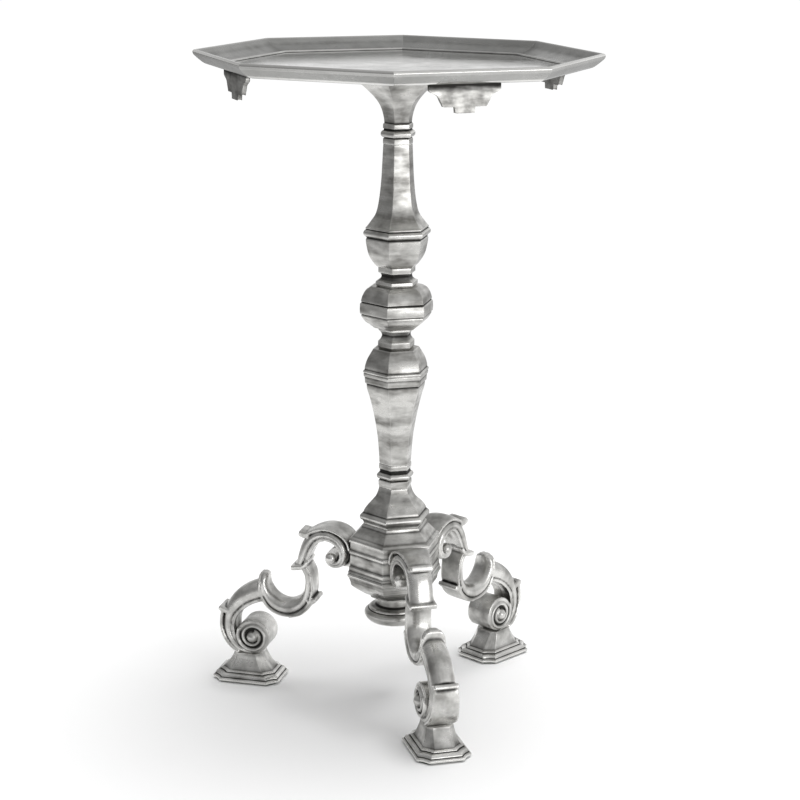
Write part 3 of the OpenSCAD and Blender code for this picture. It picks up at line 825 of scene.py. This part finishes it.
print("pearl:", len(pearls((0, 0), 7, 22)[0][0]), "points")

# %% [markdown]
# ## Scroll legs: the three scrolls
# The upper scroll curls against the hub and flares there to its full thickness, under a crowned cover.
# The middle one is a U that springs from beneath the first one's lip and ends in a round-topped ear. The
# lower one rolls into a wide volute that stands on the foot. All the shells overlap, so they are fused by a
# voxel remesh, which also leaves the small soft fillets that a casting has. One leg is made as a pattern,
# and the three legs are turned copies of it.

# %% Stations of the three scrolls
# Distance from the column's axis, z, half width, half thickness
UPPER_SCROLL = [[77.6, 165, 2.6, 19], [76.4, 158.4, 3.2, 19.4], [69.6, 154.4, 4.2, 20], [61, 157, 5, 20.6],
                [56, 165, 5.4, 21], [57, 175, 6, 21], [62.6, 184, 6.4, 20.6], [71.6, 189.2, 6.6, 19.6],
                [81, 190.0, 6.9, 18.0], [90, 187.4, 7.5, 16.2], [98, 181.0, 8.0, 14.8],
                [103.4, 172.4, 8.0, 14.4], [107.0, 163, 7.4, 14.4], [110.2, 154, 6.6, 14.4],
                [112.6, 148, 6.2, 14.4]]
MIDDLE_SCROLL = [[157.2, 133.0, 5.0, 6.5], [157.2, 131.8, 5.5, 9.4], [157.3, 129, 5.6, 11.8],
                 [157.5, 123.6, 5.4, 13.8], [156, 115, 6.2, 14.6], [150.5, 104.5, 8.2, 15],
                 [141.5, 97, 9.4, 15], [130, 93.8, 9.6, 15], [119, 95.8, 9.3, 15], [108.5, 103.4, 8.2, 15],
                 [102.5, 115, 6.6, 15], [101.2, 127, 5.6, 15], [102.3, 138, 5.2, 15], [107, 147, 5, 15]]
LOWER_SCROLL = [[157, 113.6, 12.4, 14.2], [170, 109, 12.2, 14.4], [181.5, 102.4, 11.6, 14.5],
                [191.6, 92.6, 10.6, 14.5], [198.6, 80.6, 9.2, 14.8], [200.6, 67, 8.2, 15.2],
                [198.4, 54.4, 7.6, 16], [191.4, 44, 6.8, 16.8], [182.4, 38.4, 5.4, 17.4],
                [172, 36.4, 4.8, 17.6]]
UPPER_COVER = [[50.2, 176, 2.4, 21.6], [53, 184.4, 2.7, 21.8], [60.4, 191.4, 2.8, 21.2],
               [70, 195.4, 2.9, 20.0], [80, 196.4, 3.0, 18.2], [89.6, 194.4, 3.0, 16.2],
               [98, 190.4, 2.9, 14.6], [103, 187.6, 2.7, 13.4], [105.6, 186, 2.3, 11.0]]
LOWER_COVER = [[206.2, 86, 2.2, 12.4], [206.8, 83, 2.6, 14.6], [208.0, 74, 2.8, 15.2], [207.4, 63, 2.8, 15.8],
               [203.2, 51.6, 2.8, 16.8], [195.8, 42.4, 2.6, 17.8], [187.4, 36.6, 2.4, 18.2]]
MIDDLE_COVER = [[124, 85.8, 2.2, 15.2], [113, 89.2, 2.4, 15.4], [103.8, 96.6, 2.4, 15.4],
                [98.4, 104, 2.2, 15.4]]
VOLUTE_AT, VOLUTE_R, VOLUTE_HALF = (168.8, 56.6), 20.8, 17.4
UPPER_EYE = (72.8, 162.6)
print("stations:", len(UPPER_SCROLL) + len(MIDDLE_SCROLL) + len(LOWER_SCROLL))

# %% One leg's shells
# Distance from the column's axis, z, radius of the bar, and then the bar's half length across the leg
BARS = [([[101, 186.4, 3.4], [106.8, 187.6, 4.0], [111.4, 189.0, 3.4]], 13.2),
        ([[102.4, 155, 2.0], [105, 150.6, 2.3], [109, 148, 2.6], [114, 147.2, 3.0], [120.4, 146.4, 2.8]],
         16.2),
        ([[101, 104.8, 2.8], [96.2, 106.4, 3.2], [92.4, 108.4, 2.6]], 14.8),
        ([[202, 83.6, 3.0], [207.4, 85.8, 3.2], [210.8, 87.4, 2.6]], 14.6)]
BOLTED_END = ((46.6, -12, 153), (58, 12, 181))
PEARL_R = 6.8


def leg_shells():
    shells = [sweep(UPPER_SCROLL, BEADED), sweep(MIDDLE_SCROLL, RIMMED), sweep(LOWER_SCROLL, BEADED),
              sweep(UPPER_COVER, COVER), sweep(LOWER_COVER, FLAT_COVER), sweep(MIDDLE_COVER, FLAT_COVER),
              drum(VOLUTE_AT, VOLUTE_R, VOLUTE_HALF, 0.6), drum(UPPER_EYE, 5.4, 12)]
    shells += [spiral(VOLUTE_AT, side, start=30, sweep_angle=640, radius=(19.0, 7.4),
                      height=(VOLUTE_HALF + 0.2, VOLUTE_HALF + 1.5), thickness=(2.1, 1.6))
               for side in (-1, 1)]
    shells += pearls(UPPER_EYE, PEARL_R, 13.8) + pearls(VOLUTE_AT, PEARL_R, VOLUTE_HALF + 0.6)
    shells += [sweep([[*station, half] for station in stations], SOFT_BAR, 4) for stations, half in BARS]
    return shells + [block(*BOLTED_END)]


print("shells to fuse into a leg:", len(leg_shells()))

# %% [markdown]
# ## Scroll legs: one casting
# The remesh leaves steps as small as its voxels. They are evened out by turns of drawing every point
# towards its neighbours and pushing it back a little more, which smooths without shrinking. Then the
# grooves are measured, and averaged a few times so that no speck of a step is taken for an edge.

# %% Fuse, settle and mark a leg
VOXEL, LEVEL_CUT = 0.8, 33.0
DRAW_IN, PUSH_OUT = 0.5, -0.52


def fused(name, shells):
    """Fuses overlapping shells into one mesh of even density."""
    points, faces = [], []
    for shell_points, shell_faces in shells:
        base = len(points)
        faces.extend(tuple(i + base for i in face) for face in shell_faces)
        points.extend(np.asarray(shell_points) * MM)
    made = new_object(name, points, [], faces)
    point_outwards(made.data)
    remesh = made.modifiers.new("fuse", "REMESH")
    remesh.mode, remesh.voxel_size = "VOXEL", VOXEL * MM
    return plain_mesh(made)


def settle(mesh, rounds, lowest):
    """Evens out the steps that voxels leave, and levels whatever is too low."""
    mean_of, place = neighbour_mean(mesh), places(mesh)
    for _ in range(rounds):
        for share in (DRAW_IN, PUSH_OUT):
            place = place + share * (mean_of(place) - place)
    place[:, 2] = np.maximum(place[:, 2], lowest * MM)
    mesh.vertices.foreach_set("co", place.ravel())
    mesh.update()


def mark_grooves(mesh, reach_rounds, average_rounds):
    """Stores how sunk each point is, and returns it."""
    mean_of = neighbour_mean(mesh)
    sunk = sunk_over(mesh, reach_rounds)[:, None] / MM
    for _ in range(average_rounds):
        sunk = mean_of(sunk)
    store(mesh, "sunk", sunk[:, 0])
    return sunk[:, 0]


def turned_copy(source, name, angle, finish):
    made = bpy.data.objects.new(name, source.data.copy())
    made.data.transform(Matrix.Rotation(angle, 4, "Z"))
    made.data.materials.append(finish)
    made.data.shade_smooth()
    bpy.context.scene.collection.objects.link(made)
    return made


pattern_leg = fused("pattern_leg", leg_shells())
settle(pattern_leg.data, 5, LEVEL_CUT)
leg_sunk = mark_grooves(pattern_leg.data, 14, 6)
print("leg sunk, in mm, at some percentiles:", np.round(np.percentile(leg_sunk, (1, 25, 50, 75, 99)), 2))
for number, angle in enumerate(LEG_ANGLES, 1):
    leg = turned_copy(pattern_leg, f"scroll_leg_{number}", angle, leg_silver_painted_light)
    hand_over(leg, "pedestal", f"leg_{number}")
bpy.data.objects.remove(pattern_leg)

# %% [markdown]
# ## Feet
# Each leg stands on a small plinth: a rectangle with its corners cut off, moulded at the base and drawn in
# to a concave neck. At the base the cuts are slightly hollow. It is built as a stack of such rectangles,
# whose cuts shrink as they rise, and each row has its own eased corners, so the shape stays crisp.

# %% Feet
FOOT_R, FOOT_L, FOOT_W = 177.0, 82.0, 63.0
# Stations up the foot: inset from the base's edge, z, depth of the corner cut, hollow of the corner cut
FOOT_PROFILE = ([[1.2, 1.5, 11.5, 1.4], [0, 2.4, 11.5, 1.4], [0, 4.6, 11.5, 1.4], [1.6, 5.6, 11.5, 1.4],
                 [2.2, 6.0, 11.4, 1.3]]
                + smooth([[2.6, 7.6, 11.2, 1.3], [4.0, 9.6, 11.0, 1.2], [6.4, 10.6, 11, 1.1]], 4)
                + [[7.4, 10.8, 11, 1], [7.4, 12.2, 11, 1], [9.2, 13.2, 10.8, 1]]
                + smooth([[10.4, 13.5, 10.4, 0.6], [13.4, 16.2, 9.6, 0.3], [17.0, 20.6, 8.6, 0],
                          [20.6, 26, 7.4, 0], [23.4, 31, 6.4, 0], [24.2, 33.4, 6, 0]], 5))
# From the shelf's inset to the full one, the foot is drawn in to a neck of these half sizes
SHELF, FULL_INSET, NECK_L, NECK_W = 10.4, 24.2, 17.0, 16.0
CUT_STEPS = (0.25, 0.5, 0.75)
EDGE_REACH, EDGE_SHARE = 0.9, 0.4            # how far an edge's easing goes, and its most of a side


def mirrored(corner):
    """The whole of an outline, from the points of its first corner."""
    back = corner[::-1]
    return (corner + [(-x, y) for x, y in back] + [(-x, -y) for x, y in corner]
            + [(x, -y) for x, y in back])


def foot_row(inset, cut, hollow):
    """One level of the foot, from corner cut to corner cut, and how much each point is on an edge."""
    share = max(0.0, inset - SHELF) / (FULL_INSET - SHELF)
    half_l = FOOT_L / 2 - min(inset, SHELF) - share * (FOOT_L / 2 - SHELF - NECK_L)
    half_w = FOOT_W / 2 - min(inset, SHELF) - share * (FOOT_W / 2 - SHELF - NECK_W)
    dips = [hollow * sin(pi * t) / 2 ** 0.5 for t in CUT_STEPS]
    corner = [(half_l, half_w - cut)]
    corner += [(half_l - cut * t - dip, half_w - cut * (1 - t) - dip) for t, dip in zip(CUT_STEPS, dips)]
    corner += [(half_l - cut, half_w)]
    corners = mirrored(corner)
    ring = []
    for before, here, after in zip(corners[-1:] + corners[:-1], corners, corners[1:] + corners[:1]):
        here = np.array(here)
        for other, t in ((before, 1), (before, 0.4), (after, 0.4), (after, 1)):
            way = np.array(other) - here
            reach = min(EDGE_REACH, EDGE_SHARE * np.linalg.norm(way))
            ring.append((*(here + way / np.linalg.norm(way) * reach * t), 1 - t))
    return ring


def foot(number, angle):
    profile = spaced(eased(FOOT_PROFILE, 0.4), 1.6)
    rings = [foot_row(inset, cut, hollow) for inset, _, cut, hollow in profile]
    points = [((FOOT_R + x) * MM, y * MM, z * MM)
              for ring, z in zip(rings, profile[:, 1]) for x, y, _ in ring]
    made = new_object(f"plinth_foot_{number}", points, [], skin(len(rings), len(rings[0])))
    sunk = sunk_along(profile * (-1, 1, 1, 1)) * -1
    store(made.data, "sunk", np.repeat(sunk, len(rings[0])))
    store(made.data, "arris", [edge for ring in rings for _, _, edge in ring])
    point_outwards(made.data)
    made.data.transform(Matrix.Rotation(angle, 4, "Z"))
    made.data.materials.append(leg_silver_painted_light)
    made.data.shade_smooth()
    return made


for number, angle in enumerate(LEG_ANGLES, 1):
    hand_over(foot(number, angle), "pedestal", f"foot_{number}")

# %% [markdown]
# ## Felt pads
# Three thin pads keep the metal off the floor. They lie just inside the feet's edges, and one object holds
# all three because they are identical.

# %% Pads
PAD_T, PAD_INSET, PAD_CUT = 1.5, 4, 9.0


def felt_pads():
    half_l, half_w = FOOT_L / 2 - PAD_INSET, FOOT_W / 2 - PAD_INSET
    outline = mirrored([(half_l, half_w - PAD_CUT), (half_l - PAD_CUT, half_w)])
    points, faces = [], []
    for angle in LEG_ANGLES:
        faces += [tuple(len(points) + i for i in face) for face in skin(2, len(outline))]
        turn = Matrix.Rotation(angle, 3, "Z") * MM
        points += [turn @ Vector((FOOT_R + x, y, z)) for z in (0, PAD_T) for x, y in outline]
    pads = new_object("foot_felts", points, [], faces)
    bevel_edges(pads, 0.35, 2, 60)
    pads.data.materials.append(green_felt)
    return pads


hand_over(felt_pads(), "pedestal", "foot_pads")

# %% [markdown]
# ## The floor
# The table stands on white paper. Near the table the paper is an ordinary matt white that takes a shadow.
# Further off it glows evenly instead, so it runs into the white behind it with no horizon. In the silver's
# reflections it is darker to the left and to the back, as paper is that lies away from the lamps.

# %% Floor
def paper_floor():
    material, g = new_look("white paper")
    place = own_place(g)
    x, y = place.axis(0), place.axis(1)
    away = ramp(g, x * x + y * y, 0.10, 1.6)
    paper = g.node("ShaderNodeBsdfDiffuse", {}, {"Color": (0.93, 0.93, 0.93, 1),
                                                 "Roughness": noise(g, place, 400.0, 3.0) * 0.3})
    seen = g.node("ShaderNodeLightPath", {}, {}, 0)
    reflected = (ramp(g, x, -3.0, 2.5) * 0.58 + 0.46) * (1 - ramp(g, y, 0.5, 4.0) * 0.55)
    glow = g.node("ShaderNodeEmission", {}, {"Color": (1, 1, 1, 1),
                                             "Strength": reflected * (1 - seen) + seen * 1.02})
    shader = g.node("ShaderNodeMixShader", {}, {0: away, 1: paper, 2: glow})
    g.node("ShaderNodeOutputMaterial", {}, {0: shader})
    return material


FLOOR_HALF = 60                              # metres
corners = [(-1, -1), (1, -1), (1, 1), (-1, 1)]
floor = new_object("floor", [(x * FLOOR_HALF, y * FLOOR_HALF, 0) for x, y in corners], [], [(0, 1, 2, 3)])
floor.data.materials.append(paper_floor())
print("floor:", 2 * FLOOR_HALF, "metres across")

# %% [markdown]
# ## Sky and lamps
# Silver shows its surroundings more than itself. So the sky, which the camera sees as plain white, is for
# every reflection a slow change from grey on the left to white on the right, with a brighter band low at
# the back. One broad low lamp at the front right makes the right faces of the column the brightest. A lamp
# overhead gives the soft shadow, and is kept out of the reflections, where it would whiten the tray.

# %% Sky and lamps
def studio_sky():
    world = bpy.data.worlds.new("studio")
    bpy.context.scene.world = world
    world.use_nodes = True
    world.node_tree.nodes.clear()
    g = Graph(world.node_tree)
    way = g.node("ShaderNodeTexCoord", {}, {}, 0)
    right, back, up = way.axis(0), way.axis(1), way.axis(2)
    low_band = ramp(g, back, 0.3, 0.9) * (1 - ramp(g, up, 0.15, 0.5))
    light = ramp(g, right, -0.5, 0.8) * 0.46 + ramp(g, up, 0.0, 0.8) * 0.24 + low_band * 0.50 + 0.21
    seen = g.node("ShaderNodeLightPath", {}, {}, 0)
    backdrop = g.node("ShaderNodeBackground", {}, {0: (1, 1, 1, 1), 1: light * (1 - seen) + seen})
    g.node("ShaderNodeOutputWorld", {}, {0: backdrop})


LOOK_AT = Vector((0, 0, 0.4))                # the middle of the table, in metres


def area_light(name, place, size, power, mirrored=True):
    """A rectangular lamp, in metres and watts, that looks at the table."""
    data = bpy.data.lights.new(name, "AREA")
    data.shape, data.size, data.size_y, data.energy = "RECTANGLE", *size, power
    lamp = bpy.data.objects.new(name, data)
    lamp.location, lamp.visible_glossy = place, mirrored
    lamp.rotation_euler = (LOOK_AT - Vector(place)).to_track_quat("-Z", "Y").to_euler()
    bpy.context.scene.collection.objects.link(lamp)


studio_sky()
area_light("key", (2.0, -2.0, 0.55), (1.9, 0.95), 16.5)
area_light("top", (0.25, 0.25, 3.0), (1.85, 1.85), 78, mirrored=False)
bpy.context.scene.view_settings.view_transform = "Standard"
print("lamps:", [lamp.name for lamp in bpy.data.lights])
